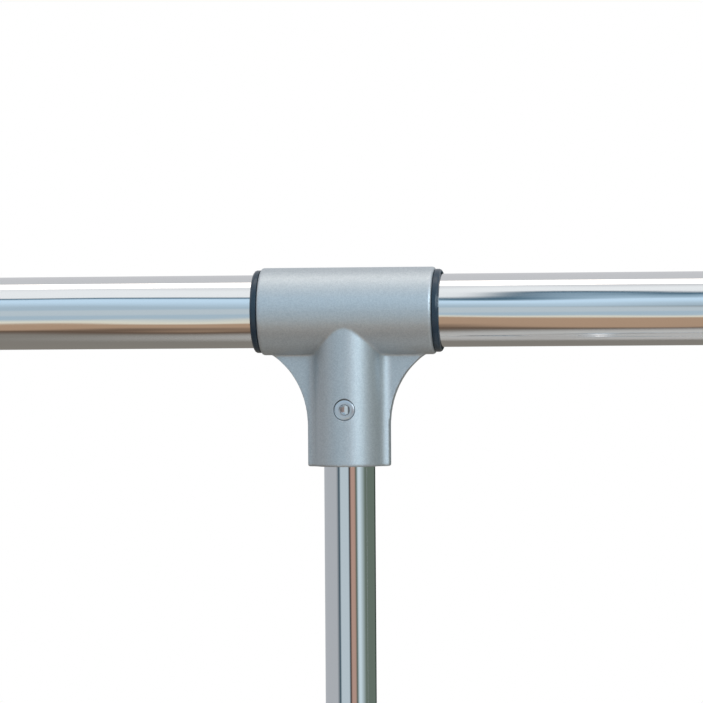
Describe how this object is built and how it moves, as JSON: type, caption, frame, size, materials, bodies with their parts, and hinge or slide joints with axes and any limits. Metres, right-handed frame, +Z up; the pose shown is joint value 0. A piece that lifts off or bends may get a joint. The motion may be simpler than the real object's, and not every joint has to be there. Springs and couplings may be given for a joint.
{
  "type": "rolling clothes rack",
  "caption": "Rolling clothes rack: a chromed rail that lengthens, on posts that adjust in height, over a tube base on swivel casters.",
  "frame": {"origin": "on the floor, under the middle of the base", "axes": "+Z up, +X along the rail, -Y towards the side of the height knobs"},
  "size_m": [1.34, 0.4756, 1.5788],
  "materials": {
    "chrome": "bright chrome plate",
    "silver_paint": "satin silver paint on a cast connector",
    "dark_plastic": "moulded, fine texture",
    "zinc_steel": "bright zinc plate",
    "wheel_plastic": "moulded nylon"
  },
  "bodies": {
    "base": {"left_post_sleeve": "chrome", "left_height_collar": "silver_paint", "left_foot_tube": "chrome", "left_foot_tee": "silver_paint", "left_foot_tee_screw": "zinc_steel", "right_post_sleeve": "chrome", "right_height_collar": "silver_paint", "right_foot_tube": "chrome", "right_foot_tee": "silver_paint", "right_foot_tee_screw": "zinc_steel", "front_base_rail": "chrome", "rear_base_rail": "chrome", "front_left_corner": "silver_paint", "front_left_caster_stem": "zinc_steel", "front_right_corner": "silver_paint", "front_right_caster_stem": "zinc_steel", "rear_left_corner": "silver_paint", "rear_left_caster_stem": "zinc_steel", "rear_right_corner": "silver_paint", "rear_right_caster_stem": "zinc_steel"},
    "upper_frame": {"hanging_rail": "chrome", "left_rail_tee": "silver_paint", "left_tee_outer_ring": "dark_plastic", "left_tee_inner_ring": "dark_plastic", "left_tee_screw": "zinc_steel", "left_rail_end_collar": "silver_paint", "left_sliding_post": "chrome", "left_post_glide_plug": "dark_plastic", "right_rail_tee": "silver_paint", "right_tee_outer_ring": "dark_plastic", "right_tee_inner_ring": "dark_plastic", "right_tee_screw": "zinc_steel", "right_rail_end_collar": "silver_paint", "right_sliding_post": "chrome", "right_post_glide_plug": "dark_plastic"},
    "left_extension": {"left_extension_rod": "chrome", "left_rod_end_cap": "dark_plastic"},
    "left_rail_lock_knob": {"left_rail_lock_knob": "dark_plastic"},
    "left_height_knob": {"left_height_knob": "dark_plastic"},
    "right_extension": {"right_extension_rod": "chrome", "right_rod_end_cap": "dark_plastic"},
    "right_rail_lock_knob": {"right_rail_lock_knob": "dark_plastic"},
    "right_height_knob": {"right_height_knob": "dark_plastic"},
    "front_left_swivel": {"front_left_caster_fork": "zinc_steel", "front_left_caster_axle": "zinc_steel"},
    "front_left_wheel": {"front_left_caster_wheel": "wheel_plastic"},
    "front_left_brake": {"front_left_brake_pedal": "dark_plastic"},
    "front_right_swivel": {"front_right_caster_fork": "zinc_steel", "front_right_caster_axle": "zinc_steel"},
    "front_right_wheel": {"front_right_caster_wheel": "wheel_plastic"},
    "front_right_brake": {"front_right_brake_pedal": "dark_plastic"},
    "rear_left_swivel": {"rear_left_caster_fork": "zinc_steel", "rear_left_caster_axle": "zinc_steel"},
    "rear_left_wheel": {"rear_left_caster_wheel": "wheel_plastic"},
    "rear_right_swivel": {"rear_right_caster_fork": "zinc_steel", "rear_right_caster_axle": "zinc_steel"},
    "rear_right_wheel": {"rear_right_caster_wheel": "wheel_plastic"}
  },
  "joints": [
    {"name": "height_slide", "type": "slide", "parent": "base", "child": "upper_frame", "axis": [0, 0, 1], "range_m": [-0.45, 0.15]},
    {"name": "left_extension_slide", "type": "slide", "parent": "upper_frame", "child": "left_extension", "axis": [-1, 0, 0], "range_m": [0, 0.3]},
    {"name": "left_rail_lock_turn", "type": "hinge", "parent": "upper_frame", "child": "left_rail_lock_knob", "pos_m": [-0.647, 0, 1.53], "axis": [0, 0, -1], "range_deg": [0, 540]},
    {"name": "left_height_knob_turn", "type": "hinge", "parent": "base", "child": "left_height_knob", "pos_m": [-0.44, -0.03, 0.911], "axis": [0, -1, 0], "range_deg": [0, 540]},
    {"name": "right_extension_slide", "type": "slide", "parent": "upper_frame", "child": "right_extension", "axis": [1, 0, 0], "range_m": [0, 0.3]},
    {"name": "right_rail_lock_turn", "type": "hinge", "parent": "upper_frame", "child": "right_rail_lock_knob", "pos_m": [0.647, 0, 1.53], "axis": [0, 0, -1], "range_deg": [0, 540]},
    {"name": "right_height_knob_turn", "type": "hinge", "parent": "base", "child": "right_height_knob", "pos_m": [0.44, -0.03, 0.911], "axis": [0, -1, 0], "range_deg": [0, 540]},
    {"name": "front_left_swivel_turn", "type": "hinge", "parent": "base", "child": "front_left_swivel", "pos_m": [-0.44, -0.22, 0.0575], "axis": [0, 0, 1], "continuous": true},
    {"name": "front_left_wheel_spin", "type": "hinge", "parent": "front_left_swivel", "child": "front_left_wheel", "pos_m": [-0.422, -0.22, 0.025], "axis": [0, 1, 0], "continuous": true},
    {"name": "front_left_brake_tip", "type": "hinge", "parent": "front_left_swivel", "child": "front_left_brake", "pos_m": [-0.406, -0.22, 0.05], "axis": [0, 1, 0], "range_deg": [0, 22]},
    {"name": "front_right_swivel_turn", "type": "hinge", "parent": "base", "child": "front_right_swivel", "pos_m": [0.44, -0.22, 0.0575], "axis": [0, 0, 1], "continuous": true},
    {"name": "front_right_wheel_spin", "type": "hinge", "parent": "front_right_swivel", "child": "front_right_wheel", "pos_m": [0.458, -0.22, 0.025], "axis": [0, 1, 0], "continuous": true},
    {"name": "front_right_brake_tip", "type": "hinge", "parent": "front_right_swivel", "child": "front_right_brake", "pos_m": [0.474, -0.22, 0.05], "axis": [0, 1, 0], "range_deg": [0, 22]},
    {"name": "rear_left_swivel_turn", "type": "hinge", "parent": "base", "child": "rear_left_swivel", "pos_m": [-0.44, 0.22, 0.0575], "axis": [0, 0, 1], "continuous": true},
    {"name": "rear_left_wheel_spin", "type": "hinge", "parent": "rear_left_swivel", "child": "rear_left_wheel", "pos_m": [-0.422, 0.22, 0.025], "axis": [0, 1, 0], "continuous": true},
    {"name": "rear_right_swivel_turn", "type": "hinge", "parent": "base", "child": "rear_right_swivel", "pos_m": [0.44, 0.22, 0.0575], "axis": [0, 0, 1], "continuous": true},
    {"name": "rear_right_wheel_spin", "type": "hinge", "parent": "rear_right_swivel", "child": "rear_right_wheel", "pos_m": [0.458, 0.22, 0.025], "axis": [0, 1, 0], "continuous": true}
  ]
}
